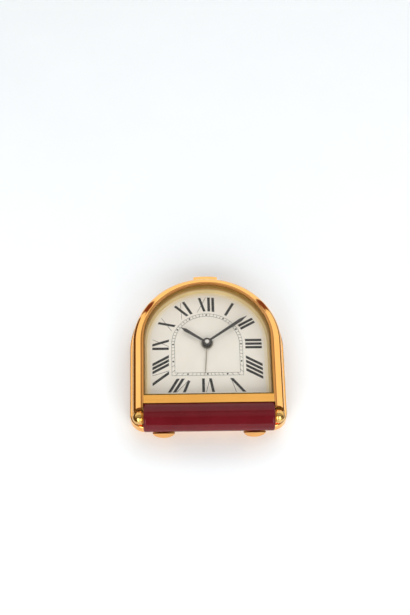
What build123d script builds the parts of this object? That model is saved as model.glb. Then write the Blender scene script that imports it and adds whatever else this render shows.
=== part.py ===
"""Arched pendulette alarm clock that stands on a lacquered bar and two feet.

Millimetres, +Z up, the dial towards -Y. The origin is on the floor, under the middle of the
clock. A depth is measured forward, towards -Y, from mid-depth. A place on the dial's map is
(right, up) from the hub.
"""

import math
import os

from build123d import *

os.makedirs("parts", exist_ok=True)

# Clearances
fit_gap = 0.05
run_gap = 0.05
roller_gap = 0.3
ball_gap = 0.35
button_gap = 0.1
overrun = 20.0

# Case shell: an arch on straight sides, seen from the front
case_radius = 35.6
case_rise = 4.34
case_corner = 7.0
case_wall = 1.6
shell_depth = 4.5
front_wall = 2.0
rim_round = 0.6

# Lacquered bar and its balls
roller_radius = 6.5
roller_drop = 38.44
roller_sink = 0.5
roller_round = 0.9
sleeve_wall = 1.0
ball_radius = 3.15
ball_out = 1.75
stud_radius = 1.2
stud_length = 5.0

# Rear cover and knobs
cover_thick = 1.4
cover_inset = 0.8
cover_round = 0.7
knob_radius = 5.0
knob_thick = 1.2
knob_proud = 0.6
knob_recess_gap = 0.5
knob_floor_gap = 0.1
flute_radius = 0.32
flute_count = 32
arbor_radius = 0.75

# Front frame
rim_show = 1.3
frame_width = 4.0
frame_depth = 9.25
leg_rise = 2.44
crown_share = 0.9
crest_round = 0.3
ledge_width = 1.7
ledge_height = 4.0

# Bezel, glass and sloped wall
bezel_width = 1.0
bezel_depth = 6.8
bezel_round_share = 0.4
opening_rise = 8.94
rehaut_depth = 3.1
rehaut_land = 0.4
rehaut_foot = 1.6
crystal_thick = 1.5
crystal_chamfer = 0.25
gasket_thick = 0.2
apron_thick = 1.0
apron_round = 0.2

# Dial and its print
dial_thick = 0.5
dial_hole_gap = 0.35
print_thick = 0.03
numeral_margin = 2.4
numeral_foot_margin = 2.8
numeral_height = 7.6
numeral_foot_height = 7.1
stroke_pitch = 1.9
thick_stroke = 1.25
thin_stroke = 0.2
track_margin = 1.3
track_foot_margin = 1.6
track_width = 1.4
track_line = 0.13
tick_width = 0.16
dot_radius = 0.42

# Hands
minute_margin = 2.0
hour_margin = 0.5
alarm_margin = 0.9
minute_angle = 54.0
hour_angle = 304.5
alarm_angle = 184.0
sword_width = 1.6
sword_root = 0.95
alarm_width = 0.45
minute_hub = 2.05
hour_hub = 2.3
alarm_hub = 2.8
hand_thick = 0.2
hand_shoulder_share = 0.84
alarm_hand_lift = 0.7
hour_hand_lift = 1.5
minute_hand_lift = 2.2
cap_radius = 1.15
cap_thick = 0.45
cap_round = 0.35

# Feet
foot_inset = 9.0
foot_radius = 5.05
foot_rear = 1.8
foot_front = 2.75
foot_pad = 1.7
foot_round = 0.35
neck_width = 5.6
neck_inset = 0.4

# Push button on top
button_width = 11.2
button_depth = 4.5
button_sink = 1.5
button_proud = 2.8
button_height = 5.2
button_round = 0.9
button_travel = 1.2
button_spring_room = 1.7
stem_radius = 0.9
spring_wire = 0.12
spring_radius = 1.3
spring_turns = 3

# Screws
screw_radius = 0.8
screw_head_radius = 1.5
screw_head = 0.8
screw_slot = 0.4
screw_slot_depth = 0.3
boss_radius = 1.8
roller_screw_inset = 14.4
roller_screw_rise = 1.54
roller_screw_bite = 3.0
cover_screw_inset = 4.4
cover_screw_angle = 40.0
cover_screw_length = 2.6
foot_screw_bite = 1.5
foot_screw_radius = 0.6
foot_screw_head_radius = 1.1

# Movement: plates, pillars and casing ring
ring_wall = 4.3
plate_thick = 1.0
train_depth = 5.0
pillar_radius = 1.5
pillar_inset = 3.0
pillar_top_angle = 40.0
pillar_bottom_angle = 52.0
ring_gap = 0.1
ledge_gap = 0.2
movement_screw_length = 3.0

# Wheels: teeth, modules and levels behind the dial-side plate
tooth_root_share = 0.62
tooth_tip_share = 0.22
addendum_share = 1.0
dedendum_share = 1.25
hand_module = 0.25
hour_module = 0.24
train_module = 0.12
cannon_teeth = 12
minute_teeth = 36
minute_pinion_teeth = 10
hour_teeth = 40
alarm_teeth = 64
alarm_pinion_teeth = 32
centre_teeth = 80
intermediate_pinion_teeth = 8
intermediate_teeth = 54
rotor_teeth = 6
wheel_thick = 0.5
pinion_thick = 0.8
fine_wheel_thick = 0.4
alarm_wheel_level = 0.8
hour_wheel_level = 1.7
minute_wheel_level = 2.8
centre_wheel_level = 3.8
intermediate_level = 4.6
pinion_lap = 0.15
tube_wall = 0.3
pivot_depth = 0.5
time_side = -20.0
alarm_side = 200.0
train_side = 100.0
post_radius = 0.4
fine_post_radius = 0.15
post_clear = 0.1
rotor_arbor = 0.2
magnet_radius = 2.0
magnet_thick = 0.6
magnet_level = 3.2

# Stator, coil, electronics, cell and sounder
stator_gap = 0.3
stator_half = 9.0
yoke_below = 2.75
yoke_above = 2.85
stator_leg = 1.8
core_height = 1.6
core_rise = 6.25
coil_radius = 1.7
coil_half = 6.8
coil_round = 0.3
seat_radius = 0.8
seat_rise = 4.05
board_width = 8.0
board_height = 17.0
board_clear = 1.72
board_drop = 0.5
board_thick = 0.6
chip_radius = 2.0
chip_thick = 1.0
chip_rise = 4.5
can_radius = 0.9
can_length = 6.0
can_drop = 4.0
can_round = 0.25
cell_radius = 5.8
cell_thick = 5.4
cell_inset = 6.6
cell_step = 0.5
cell_round = 0.3
cell_gap = 0.2
leaf_thick = 0.2
leaf_width = 3.0
leaf_length = 8.0
hatch_margin = 1.1
hatch_gap = 0.1
hatch_lug_reach = 1.3
hatch_lug_thick = 0.35
hatch_lug_angle = 40.0
hatch_lug_play = 4.0
hatch_slot_width = 1.3
hatch_slot_length = 9.0
hatch_slot_depth = 0.6
buzzer_radius = 10.0
buzzer_thick = 0.4
buzzer_crystal_radius = 7.0
buzzer_rise = 15.0
sound_hole = 0.6
sound_ring = 2.6
sound_count = 6
switch_width = 4.0
switch_height = 2.8
switch_depth = 2.9
switch_inset = 2.5
switch_round = 0.3

# Levels in depth, from the seam between shell and frame
roller_ahead = roller_radius - roller_sink
seam = (shell_depth + cover_thick + knob_proud - roller_ahead - roller_radius) / 2
shell_back = seam - shell_depth
wall_back = seam - front_wall
cover_back = shell_back - cover_thick
dial_back = seam + ledge_height
dial_face = dial_back + dial_thick
crystal_back = dial_face + rehaut_depth
bezel_front = dial_back + bezel_depth
apron_back = bezel_front - apron_thick
plate_back = dial_back - plate_thick
bridge_front = plate_back - train_depth
bridge_back = bridge_front - plate_thick
roller_depth = seam + roller_ahead

# Sizes that follow from the ones above
hub_height = roller_drop + roller_radius
case_drop = hub_height - case_rise
leg_drop = roller_drop - leg_rise
opening_drop = roller_drop - opening_rise
frame_radius = case_radius - rim_show
bezel_radius = frame_radius - frame_width
bezel_drop = opening_drop + bezel_width
glass_radius = bezel_radius - bezel_width
ledge_radius = bezel_radius - ledge_width
ledge_drop = bezel_drop - ledge_width
ring_radius = ledge_radius - ledge_gap
ring_drop = ledge_drop - ledge_gap
bore_radius = min(ring_radius, ring_drop) - ring_wall
movement_radius = bore_radius - ring_gap
ball_place = frame_radius - ball_radius
roller_half = ball_place - ball_out
roller_length = 2 * roller_half
trough_radius = roller_radius + roller_gap
trough_half = roller_half + roller_gap
sleeve_bore = roller_radius - sleeve_wall
core_radius = sleeve_bore - fit_gap
button_top = case_radius + button_proud
button_foot = button_top - button_height
slot_floor = button_foot - button_spring_room
button_back = seam - button_sink
stem_depth = (seam + plate_back) / 2
switch_top = movement_radius - switch_inset
stem_end = switch_top + button_travel + button_gap
hatch_radius = cell_radius + hatch_margin
cell_place = (0.0, cell_inset - movement_radius)
buzzer_place = (0.0, buzzer_rise)
hour_bore = arbor_radius + run_gap
hour_tube = hour_bore + tube_wall
alarm_bore = hour_tube + run_gap
alarm_tube = alarm_bore + tube_wall
numeral_outer = glass_radius - rehaut_foot - numeral_margin
numeral_inner = numeral_outer - numeral_height
numeral_outer_drop = opening_drop - rehaut_foot - numeral_foot_margin
numeral_inner_drop = numeral_outer_drop - numeral_foot_height
track_outer = numeral_inner - track_margin
track_inner = track_outer - track_width
track_outer_drop = numeral_inner_drop - track_foot_margin
track_inner_drop = track_outer_drop - track_width
minute_length = numeral_outer - minute_margin
hour_length = track_inner - hour_margin
alarm_length = numeral_inner - alarm_margin
hub = (0.0, 0.0)
rising = (Align.CENTER, Align.CENTER, Align.MIN)
falling = (Align.CENTER, Align.CENTER, Align.MAX)


def at(place, depth):
    """Plane that faces forward, its origin at a place on the dial's map."""
    right, up = place
    return Plane(origin=(right, -depth, hub_height + up), x_dir=(1, 0, 0), z_dir=(0, -1, 0))


def polar(radius, angle):
    """Place on the dial's map, the angle counter-clockwise from the right."""
    return (radius * math.cos(math.radians(angle)), radius * math.sin(math.radians(angle)))


def arch(radius, drop, corner=0):
    """Half disc about the hub on a straight-sided body that ends at drop below the hub."""
    with BuildSketch() as outline:
        with BuildLine():
            ThreePointArc((-radius, 0), (0, radius), (radius, 0))
            Polyline((radius, 0), (radius, -drop), (-radius, -drop), (-radius, 0))
        make_face()
        if corner:
            fillet(outline.vertices().group_by(Axis.Y)[0], corner)
    return outline.sketch


def gear(teeth, module, phase):
    """Spur wheel with straight-flanked teeth, one of them at the angle phase."""
    pitch_radius = teeth * module / 2
    root = pitch_radius - dedendum_share * module
    tip = pitch_radius + addendum_share * module
    step = 360 / teeth
    points = []
    for tooth in range(teeth):
        middle = phase + tooth * step
        points.append(polar(root, middle - step * tooth_root_share / 2))
        points.append(polar(tip, middle - step * tooth_tip_share / 2))
        points.append(polar(tip, middle + step * tooth_tip_share / 2))
        points.append(polar(root, middle + step * tooth_root_share / 2))
    with BuildSketch() as wheel:
        with BuildLine():
            Polyline(*points, close=True)
        make_face()
    return wheel.sketch


def mesh_phase(driver_teeth, driver_phase, driven_teeth, direction):
    """Phase that puts the driven wheel's gap against the driver's tooth."""
    turned = (direction - driver_phase) / (360 / driver_teeth)
    return direction + 180 - (0.5 - turned % 1) * (360 / driven_teeth)


def centres(teeth_a, teeth_b, module):
    """Distance between the axes of two meshed wheels."""
    return (teeth_a + teeth_b) * module / 2


# Roller: the lacquered bar at the bottom, and the trough that its neighbours leave for it
roller_axis = (-roller_depth, roller_radius)

with BuildPart() as trough:
    with BuildSketch(Plane.YZ.offset(-trough_half)):
        with Locations(roller_axis):
            Circle(trough_radius)
    extrude(amount=2 * trough_half)

with BuildPart() as ball_pockets:
    with BuildSketch(at(hub, seam)):
        with Locations((-ball_place, -roller_drop), (ball_place, -roller_drop)):
            Circle(ball_radius + ball_gap)
    extrude(amount=frame_depth)

roller_screw_places = [
    (side * (roller_half - roller_screw_inset), roller_screw_rise - roller_drop)
    for side in (-1, 1)
]

with BuildPart() as roller_sleeve:
    with BuildSketch(Plane.YZ.offset(-roller_half)):
        with Locations(roller_axis):
            Circle(roller_radius)
            Circle(sleeve_bore, mode=Mode.SUBTRACT)
    extrude(amount=roller_length)
    rims = roller_sleeve.edges().filter_by(GeomType.CIRCLE).sort_by(SortBy.RADIUS)[-2:]
    fillet(rims, roller_round)
    with Locations([at(place, seam - front_wall) for place in roller_screw_places]):
        Cylinder(screw_radius, roller_ahead, align=rising, mode=Mode.SUBTRACT)
roller_sleeve.part.label = "roller_sleeve"
export_step(roller_sleeve.part, "parts/roller_sleeve.step")

with BuildPart() as roller_core:
    with BuildSketch(Plane.YZ.offset(-roller_half)):
        with Locations(roller_axis):
            Circle(core_radius)
    extrude(amount=roller_length)
    with BuildSketch(Plane.YZ.offset(-roller_half)):
        with Locations(roller_axis):
            Circle(stud_radius)
    extrude(amount=stud_length, mode=Mode.SUBTRACT)
    with BuildSketch(Plane.YZ.offset(roller_half)):
        with Locations(roller_axis):
            Circle(stud_radius)
    extrude(amount=-stud_length, mode=Mode.SUBTRACT)
    with Locations([at(place, wall_back) for place in roller_screw_places]):
        Cylinder(
            screw_radius,
            front_wall + roller_screw_bite,
            align=rising,
            mode=Mode.SUBTRACT,
        )
roller_core.part.label = "roller_core"
export_step(roller_core.part, "parts/roller_core.step")

# Ball finials: a ball cut flat against the bar's end, on a stud in the core
with BuildPart() as ball_finials:
    with Locations(
        (-ball_place, -roller_depth, roller_radius),
        (ball_place, -roller_depth, roller_radius),
    ):
        Sphere(ball_radius)
    with BuildSketch(Plane.YZ.offset(-roller_half)):
        with Locations(roller_axis):
            Circle(ball_radius)
    extrude(amount=roller_length, mode=Mode.SUBTRACT)
    with BuildSketch(Plane.YZ.offset(-roller_half)):
        with Locations(roller_axis):
            Circle(stud_radius)
    extrude(amount=stud_length)
    with BuildSketch(Plane.YZ.offset(roller_half)):
        with Locations(roller_axis):
            Circle(stud_radius)
    extrude(amount=-stud_length)
ball_finials.part.label = "ball_finials"
export_step(ball_finials.part, "parts/ball_finials.step")

# Roller screws: from inside the case, through its front wall, into the core
with BuildPart() as roller_screws:
    with Locations([at(place, wall_back) for place in roller_screw_places]):
        Cylinder(screw_head_radius, screw_head, align=falling)
        Cylinder(screw_radius, front_wall + roller_screw_bite, align=rising)
    with Locations([at(place, wall_back - screw_head) for place in roller_screw_places]):
        Box(
            2 * screw_head_radius,
            screw_slot,
            screw_slot_depth,
            align=rising,
            mode=Mode.SUBTRACT,
        )
roller_screws.part.label = "roller_screws"
export_step(roller_screws.part, "parts/roller_screws.step")

# Button slot: cut through the shell and the frame at the top of the arch
with BuildPart() as button_slot:
    with BuildSketch(at(hub, button_back - button_gap)):
        with Locations((0, slot_floor)):
            Rectangle(
                button_width + 2 * button_gap,
                overrun,
                align=(Align.CENTER, Align.MIN),
            )
    extrude(amount=button_depth + 2 * button_gap)

# Case shell: rim, front wall, bosses for the cover's screws, the lower two in its corners
cover_screw_top = polar(case_radius - cover_screw_inset, cover_screw_angle)
cover_screw_bottom = (case_radius - case_corner, case_corner - case_drop)
cover_screw_places = [
    (side * right, up)
    for right, up in (cover_screw_top, cover_screw_bottom)
    for side in (-1, 1)
]
foot_place = roller_half - foot_inset
foot_spots = [(side * foot_place, -(shell_back + wall_back) / 2) for side in (-1, 1)]
floor_top = hub_height - case_drop + case_wall

with BuildPart() as case_shell:
    with BuildSketch(at(hub, shell_back)):
        add(arch(case_radius, case_drop, case_corner))
    extrude(amount=shell_depth)
    rims = case_shell.faces().filter_by(Axis.Y).edges()
    fillet(rims, rim_round)
    with BuildSketch(at(hub, shell_back)):
        add(arch(case_radius - case_wall, case_drop - case_wall, case_corner - case_wall))
    extrude(amount=shell_depth - front_wall, mode=Mode.SUBTRACT)
    with Locations([at(place, shell_back) for place in cover_screw_places]):
        Cylinder(boss_radius, shell_depth - front_wall, align=rising)
        Cylinder(
            screw_radius,
            cover_screw_length,
            align=rising,
            mode=Mode.SUBTRACT,
        )
    with BuildSketch(at(hub, wall_back)):
        add(arch(ring_radius - case_wall, ring_drop - case_wall))
    extrude(amount=front_wall, mode=Mode.SUBTRACT)
    with Locations([at(place, wall_back) for place in roller_screw_places]):
        Cylinder(screw_radius, front_wall, align=rising, mode=Mode.SUBTRACT)
    with BuildSketch(Plane.XY.offset(floor_top)):
        with Locations(foot_spots):
            Circle(foot_screw_radius)
    extrude(amount=-case_wall, mode=Mode.SUBTRACT)
    add(trough.part, mode=Mode.SUBTRACT)
    add(button_slot.part, mode=Mode.SUBTRACT)
case_shell.part.label = "case_shell"
export_step(case_shell.part, "parts/case_shell.step")

# Front frame: arch with a rounded outer side, the ledge inside it and the chin above the bar
with BuildPart() as front_frame:
    with BuildSketch(at(hub, seam)):
        add(arch(frame_radius, leg_drop + overrun))
        add(arch(bezel_radius, leg_drop + overrun), mode=Mode.SUBTRACT)
    extrude(amount=frame_depth)
    crest = front_frame.faces().sort_by(Axis.Y)[0].edges()
    inner_crest = crest.filter_by(GeomType.CIRCLE).sort_by(SortBy.RADIUS)[:1]
    inner_sides = crest.filter_by(Axis.Z).sort_by(lambda side: abs(side.center().X))[:2]
    fillet(inner_crest + inner_sides, crest_round)
    crest = front_frame.faces().sort_by(Axis.Y)[0].edges()
    outer_crest = crest.filter_by(GeomType.CIRCLE).sort_by(SortBy.RADIUS)[-1:]
    outer_sides = crest.filter_by(Axis.Z).sort_by(lambda side: abs(side.center().X))[-2:]
    fillet(outer_crest + outer_sides, frame_width * crown_share)
    with BuildSketch(at(hub, seam)):
        with Locations((0, -leg_drop)):
            Rectangle(2 * case_radius, 2 * overrun, align=(Align.CENTER, Align.MAX))
    extrude(amount=frame_depth, mode=Mode.SUBTRACT)
    with BuildSketch(at(hub, seam)):
        with Locations((0, -bezel_drop)):
            Rectangle(2 * bezel_radius, leg_drop - bezel_drop, align=(Align.CENTER, Align.MAX))
    extrude(amount=apron_back - seam)
    with BuildSketch(at(hub, seam)):
        add(arch(bezel_radius, bezel_drop))
        add(arch(ledge_radius, ledge_drop), mode=Mode.SUBTRACT)
    extrude(amount=ledge_height)
    add(trough.part, mode=Mode.SUBTRACT)
    add(ball_pockets.part, mode=Mode.SUBTRACT)
    add(button_slot.part, mode=Mode.SUBTRACT)
    with BuildSketch(Plane.XY.offset(hub_height + slot_floor)):
        with Locations((0, -stem_depth)):
            Circle(stem_radius + run_gap)
    extrude(amount=-(slot_floor - ledge_radius + case_wall), mode=Mode.SUBTRACT)
front_frame.part.label = "front_frame"
export_step(front_frame.part, "parts/front_frame.step")

# Bezel: thin raised ring on the frame's ledge, its bottom bar under the apron, its legs beside it
with BuildPart() as bezel:
    with BuildSketch(at(hub, dial_back)):
        add(arch(bezel_radius, bezel_drop))
    extrude(amount=bezel_depth)
    with BuildSketch(at(hub, apron_back)):
        add(arch(bezel_radius, leg_drop))
    extrude(amount=apron_thick)
    front_edges = bezel.faces().sort_by(Axis.Y)[0].edges()
    fillet(front_edges, bezel_width * bezel_round_share)
    with BuildSketch(at(hub, dial_back)):
        add(arch(glass_radius, opening_drop))
    extrude(amount=bezel_depth, mode=Mode.SUBTRACT)
    with BuildSketch(at(hub, apron_back)):
        with Locations((0, -opening_drop)):
            Rectangle(2 * glass_radius, overrun, align=(Align.CENTER, Align.MAX))
    extrude(amount=apron_thick, mode=Mode.SUBTRACT)
    add(trough.part, mode=Mode.SUBTRACT)
    add(ball_pockets.part, mode=Mode.SUBTRACT)
bezel.part.label = "bezel"
export_step(bezel.part, "parts/bezel.step")

# Apron plate: flush with the bezel's front, its lower edge follows the bar
with BuildPart() as apron_plate:
    with BuildSketch(at(hub, apron_back)):
        with Locations((0, -opening_drop)):
            Rectangle(2 * glass_radius, leg_drop - opening_drop, align=(Align.CENTER, Align.MAX))
    extrude(amount=apron_thick)
    add(trough.part, mode=Mode.SUBTRACT)
    top_edge = apron_plate.faces().sort_by(Axis.Y)[0].edges().sort_by(Axis.Z)[-1]
    fillet(top_edge, apron_round)
apron_plate.part.label = "apron_plate"
export_step(apron_plate.part, "parts/apron_plate.step")

# Rehaut: sloped wall from the dial up to the glass
with BuildPart() as rehaut:
    with BuildSketch(at(hub, dial_face)):
        add(arch(glass_radius, opening_drop))
    extrude(amount=rehaut_depth)
    with BuildSketch(at(hub, dial_face)):
        add(arch(glass_radius - rehaut_foot, opening_drop - rehaut_foot))
    with BuildSketch(at(hub, crystal_back)):
        add(arch(glass_radius - rehaut_land, opening_drop - rehaut_land))
    loft(ruled=True, mode=Mode.SUBTRACT)
rehaut.part.label = "rehaut"
export_step(rehaut.part, "parts/rehaut.step")

# Crystal and its gasket, on top of the sloped wall
with BuildPart() as crystal:
    with BuildSketch(at(hub, crystal_back)):
        add(arch(glass_radius - gasket_thick, opening_drop - gasket_thick))
    extrude(amount=crystal_thick)
    chamfer(crystal.faces().sort_by(Axis.Y)[0].edges(), crystal_chamfer)
crystal.part.label = "crystal"
export_step(crystal.part, "parts/crystal.step")

with BuildPart() as crystal_gasket:
    with BuildSketch(at(hub, crystal_back)):
        add(arch(glass_radius, opening_drop))
        add(
            arch(glass_radius - gasket_thick, opening_drop - gasket_thick),
            mode=Mode.SUBTRACT,
        )
    extrude(amount=crystal_thick - crystal_chamfer)
crystal_gasket.part.label = "crystal_gasket"
export_step(crystal_gasket.part, "parts/crystal_gasket.step")

# Dial plate
with BuildPart() as dial:
    with BuildSketch(at(hub, dial_back)):
        add(arch(glass_radius - fit_gap, opening_drop - fit_gap))
        Circle(alarm_tube + dial_hole_gap, mode=Mode.SUBTRACT)
    extrude(amount=dial_thick)
dial.part.label = "dial"
export_step(dial.part, "parts/dial.step")

# Roman numerals: glyphs from left to right, each at a share of the stroke pitch from its hour
numeral_shares = {
    0: (("X", -1.08), ("I", 0.66), ("I", 1.68)),
    1: (("I", 0),),
    2: (("I", -0.48), ("I", 0.48)),
    3: (("I", -1), ("I", 0), ("I", 1)),
    4: (("I", -1.5), ("I", -0.5), ("I", 0.5), ("I", 1.5)),
    5: (("V", -0.18),),
    6: (("V", -0.6), ("I", 1.1)),
    7: (("V", -1.1), ("I", 0.4), ("I", 1.45)),
    8: (("V", -1.95), ("I", -0.1), ("I", 0.85), ("I", 1.8)),
    9: (("I", -1.15), ("X", 0.45)),
    10: (("X", 0),),
    11: (("X", -0.6), ("I", 1.15)),
}
# Each stroke of a glyph: bold or not, then its shift at the inner end and at the outer end
glyph_shares = {
    "I": ((True, 0, 0),),
    "V": ((True, 0, -0.68), (False, 0.1, 1.05)),
    "X": ((True, 0.63, -0.63), (False, -1.0, 1.0)),
}


def reach(hour, radius, drop):
    """How far along an hour's direction the arch of this radius and drop ends."""
    if hour <= 3 or hour >= 9:
        return radius
    turn = math.radians(30 * hour)
    return min(radius / abs(math.sin(turn)), drop / -math.cos(turn))


def on_hour(hour, outward, across):
    """Place on the dial's map, outward along an hour's direction and clockwise across it."""
    turn = math.radians(30 * hour)
    return (
        outward * math.sin(turn) + across * math.cos(turn),
        outward * math.cos(turn) - across * math.sin(turn),
    )


def stroke(hour, bold, inner_shift, outer_shift, pointed):
    """Corners of one stroke, run past the numeral's band, but not past a point."""
    inner = reach(hour, numeral_inner, numeral_inner_drop)
    outer = reach(hour, numeral_outer, numeral_outer_drop)
    slope = (outer_shift - inner_shift) / (outer - inner)
    low = inner if pointed else inner - overrun
    high = outer + overrun
    half = (thick_stroke if bold else thin_stroke) / 2
    low_shift = inner_shift + slope * (low - inner)
    high_shift = inner_shift + slope * (high - inner)
    return [
        on_hour(hour, low, low_shift - half),
        on_hour(hour, high, high_shift - half),
        on_hour(hour, high, high_shift + half),
        on_hour(hour, low, low_shift + half),
    ]


with BuildPart() as dial_numerals:
    with BuildSketch(at(hub, dial_face)):
        for hour, glyphs in numeral_shares.items():
            for letter, place_share in glyphs:
                for bold, inner_share, outer_share in glyph_shares[letter]:
                    inner_shift = (place_share + inner_share) * stroke_pitch
                    outer_shift = (place_share + outer_share) * stroke_pitch
                    corners = stroke(hour, bold, inner_shift, outer_shift, letter == "V")
                    with BuildLine():
                        Polyline(*corners, close=True)
                    make_face()
        add(arch(numeral_outer, numeral_outer_drop), mode=Mode.INTERSECT)
        add(arch(numeral_inner, numeral_inner_drop), mode=Mode.SUBTRACT)
    extrude(amount=print_thick)
dial_numerals.part.label = "dial_numerals"
export_step(dial_numerals.part, "parts/dial_numerals.step")


# Minute track: two lines, a tick at each minute and a dot at each five minutes
track_middle = (track_outer + track_inner) / 2
track_middle_drop = (track_outer_drop + track_inner_drop) / 2

with BuildPart() as minute_track:
    with BuildSketch(at(hub, dial_face)):
        for radius, drop in ((track_outer, track_outer_drop), (track_inner, track_inner_drop)):
            add(arch(radius + track_line / 2, drop + track_line / 2))
            add(arch(radius - track_line / 2, drop - track_line / 2), mode=Mode.SUBTRACT)
        for minute in range(60):
            hour = minute / 5
            if minute % 5 == 0:
                middle = reach(hour, track_middle, track_middle_drop)
                with Locations(on_hour(hour, middle, 0)):
                    Circle(dot_radius)
                continue
            low = reach(hour, track_inner, track_inner_drop)
            high = reach(hour, track_outer, track_outer_drop)
            with BuildLine():
                Polyline(
                    on_hour(hour, low, -tick_width / 2),
                    on_hour(hour, high, -tick_width / 2),
                    on_hour(hour, high, tick_width / 2),
                    on_hour(hour, low, tick_width / 2),
                    close=True,
                )
            make_face()
    extrude(amount=print_thick)
minute_track.part.label = "minute_track"
export_step(minute_track.part, "parts/minute_track.step")

# Wheel axes on the dial's map, and the phases that put their teeth in mesh
minute_axis = polar(centres(cannon_teeth, minute_teeth, hand_module), time_side)
knob_reach = centres(alarm_teeth, alarm_pinion_teeth, hand_module)
time_axis = polar(knob_reach, time_side)
alarm_axis = polar(knob_reach, alarm_side)
train_reach = centres(centre_teeth, intermediate_pinion_teeth, train_module)
intermediate_axis = polar(train_reach, train_side)
rotor_reach = train_reach + centres(intermediate_teeth, rotor_teeth, train_module)
rotor_axis = polar(rotor_reach, train_side)

minute_phase = mesh_phase(cannon_teeth, 0, minute_teeth, time_side)
time_phase = mesh_phase(minute_teeth, minute_phase, cannon_teeth, time_side)
hour_phase = mesh_phase(minute_pinion_teeth, 0, hour_teeth, time_side + 180)
alarm_pinion_phase = mesh_phase(alarm_teeth, 0, alarm_pinion_teeth, alarm_side)
intermediate_phase = mesh_phase(centre_teeth, 0, intermediate_pinion_teeth, train_side)
rotor_phase = mesh_phase(intermediate_teeth, 0, rotor_teeth, train_side)

# Levels of the wheels and hands
alarm_wheel_back = plate_back - alarm_wheel_level
hour_wheel_back = plate_back - hour_wheel_level
minute_wheel_back = plate_back - minute_wheel_level
centre_wheel_back = plate_back - centre_wheel_level
intermediate_back = plate_back - intermediate_level
magnet_back = plate_back - magnet_level
alarm_hand_back = dial_face + alarm_hand_lift
hour_hand_back = dial_face + hour_hand_lift
minute_hand_back = dial_face + minute_hand_lift
cannon_top = minute_hand_back + hand_thick
pivot_back = bridge_front - pivot_depth

# Cannon pinion: pinion on the arbor that carries the minute hand
with BuildPart() as cannon_pinion:
    with BuildSketch(at(hub, minute_wheel_back - pinion_lap)):
        add(gear(cannon_teeth, hand_module, 0))
    extrude(amount=pinion_thick)
    with Locations(at(hub, pivot_back)):
        Cylinder(arbor_radius, cannon_top - pivot_back, align=rising)
cannon_pinion.part.label = "cannon_pinion"
export_step(cannon_pinion.part, "parts/cannon_pinion.step")

# Minute wheel: between the cannon pinion and the time knob, its own pinion drives the hour wheel
minute_top = hour_wheel_back + wheel_thick + pinion_lap
with BuildPart() as minute_wheel:
    with BuildSketch(at(minute_axis, minute_wheel_back)):
        add(gear(minute_teeth, hand_module, minute_phase))
    extrude(amount=wheel_thick)
    with BuildSketch(at(minute_axis, minute_wheel_back)):
        add(gear(minute_pinion_teeth, hour_module, 0))
    extrude(amount=minute_top - minute_wheel_back)
    with Locations(at(minute_axis, minute_wheel_back)):
        Cylinder(
            post_radius + run_gap,
            minute_top - minute_wheel_back,
            align=rising,
            mode=Mode.SUBTRACT,
        )
minute_wheel.part.label = "minute_wheel"
export_step(minute_wheel.part, "parts/minute_wheel.step")

# Hour wheel: its tube turns on the arbor and carries the hour hand
hour_rise = hour_hand_back + hand_thick - hour_wheel_back
with BuildPart() as hour_wheel:
    with BuildSketch(at(hub, hour_wheel_back)):
        add(gear(hour_teeth, hour_module, hour_phase))
    extrude(amount=wheel_thick)
    with Locations(at(hub, hour_wheel_back)):
        Cylinder(hour_tube, hour_rise, align=rising)
        Cylinder(hour_bore, hour_rise, align=rising, mode=Mode.SUBTRACT)
hour_wheel.part.label = "hour_wheel"
export_step(hour_wheel.part, "parts/hour_wheel.step")

# Alarm wheel: its tube turns on the hour wheel's tube and carries the alarm hand
alarm_rise = alarm_hand_back + hand_thick - alarm_wheel_back
with BuildPart() as alarm_wheel:
    with BuildSketch(at(hub, alarm_wheel_back)):
        add(gear(alarm_teeth, hand_module, 0))
    extrude(amount=wheel_thick)
    with Locations(at(hub, alarm_wheel_back)):
        Cylinder(alarm_tube, alarm_rise, align=rising)
        Cylinder(alarm_bore, alarm_rise, align=rising, mode=Mode.SUBTRACT)
alarm_wheel.part.label = "alarm_wheel"
export_step(alarm_wheel.part, "parts/alarm_wheel.step")

# Centre wheel: a slip fit on the arbor, driven by the stepping train
with BuildPart() as centre_wheel:
    with BuildSketch(at(hub, centre_wheel_back)):
        add(gear(centre_teeth, train_module, 0))
        Circle(arbor_radius + run_gap, mode=Mode.SUBTRACT)
    extrude(amount=fine_wheel_thick)
centre_wheel.part.label = "centre_wheel"
export_step(centre_wheel.part, "parts/centre_wheel.step")

# Intermediate wheel: its pinion drives the centre wheel
intermediate_top = centre_wheel_back + fine_wheel_thick + pinion_lap
with BuildPart() as intermediate_wheel:
    with BuildSketch(at(intermediate_axis, intermediate_back)):
        add(gear(intermediate_teeth, train_module, 0))
    extrude(amount=fine_wheel_thick)
    with BuildSketch(at(intermediate_axis, intermediate_back)):
        add(gear(intermediate_pinion_teeth, train_module, intermediate_phase))
    extrude(amount=intermediate_top - intermediate_back)
    with Locations(at(intermediate_axis, intermediate_back)):
        Cylinder(
            fine_post_radius + run_gap,
            intermediate_top - intermediate_back,
            align=rising,
            mode=Mode.SUBTRACT,
        )
intermediate_wheel.part.label = "intermediate_wheel"
export_step(intermediate_wheel.part, "parts/intermediate_wheel.step")

# Rotor: magnet and pinion on one arbor between the two plates
with BuildPart() as rotor:
    with BuildSketch(at(rotor_axis, intermediate_back - pinion_lap)):
        add(gear(rotor_teeth, train_module, rotor_phase))
    extrude(amount=fine_wheel_thick + 2 * pinion_lap)
    with Locations(at(rotor_axis, magnet_back)):
        Cylinder(magnet_radius, magnet_thick, align=rising)
    with Locations(at(rotor_axis, pivot_back)):
        Cylinder(rotor_arbor, plate_back + pivot_depth - pivot_back, align=rising)
rotor.part.label = "rotor"
export_step(rotor.part, "parts/rotor.step")


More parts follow.
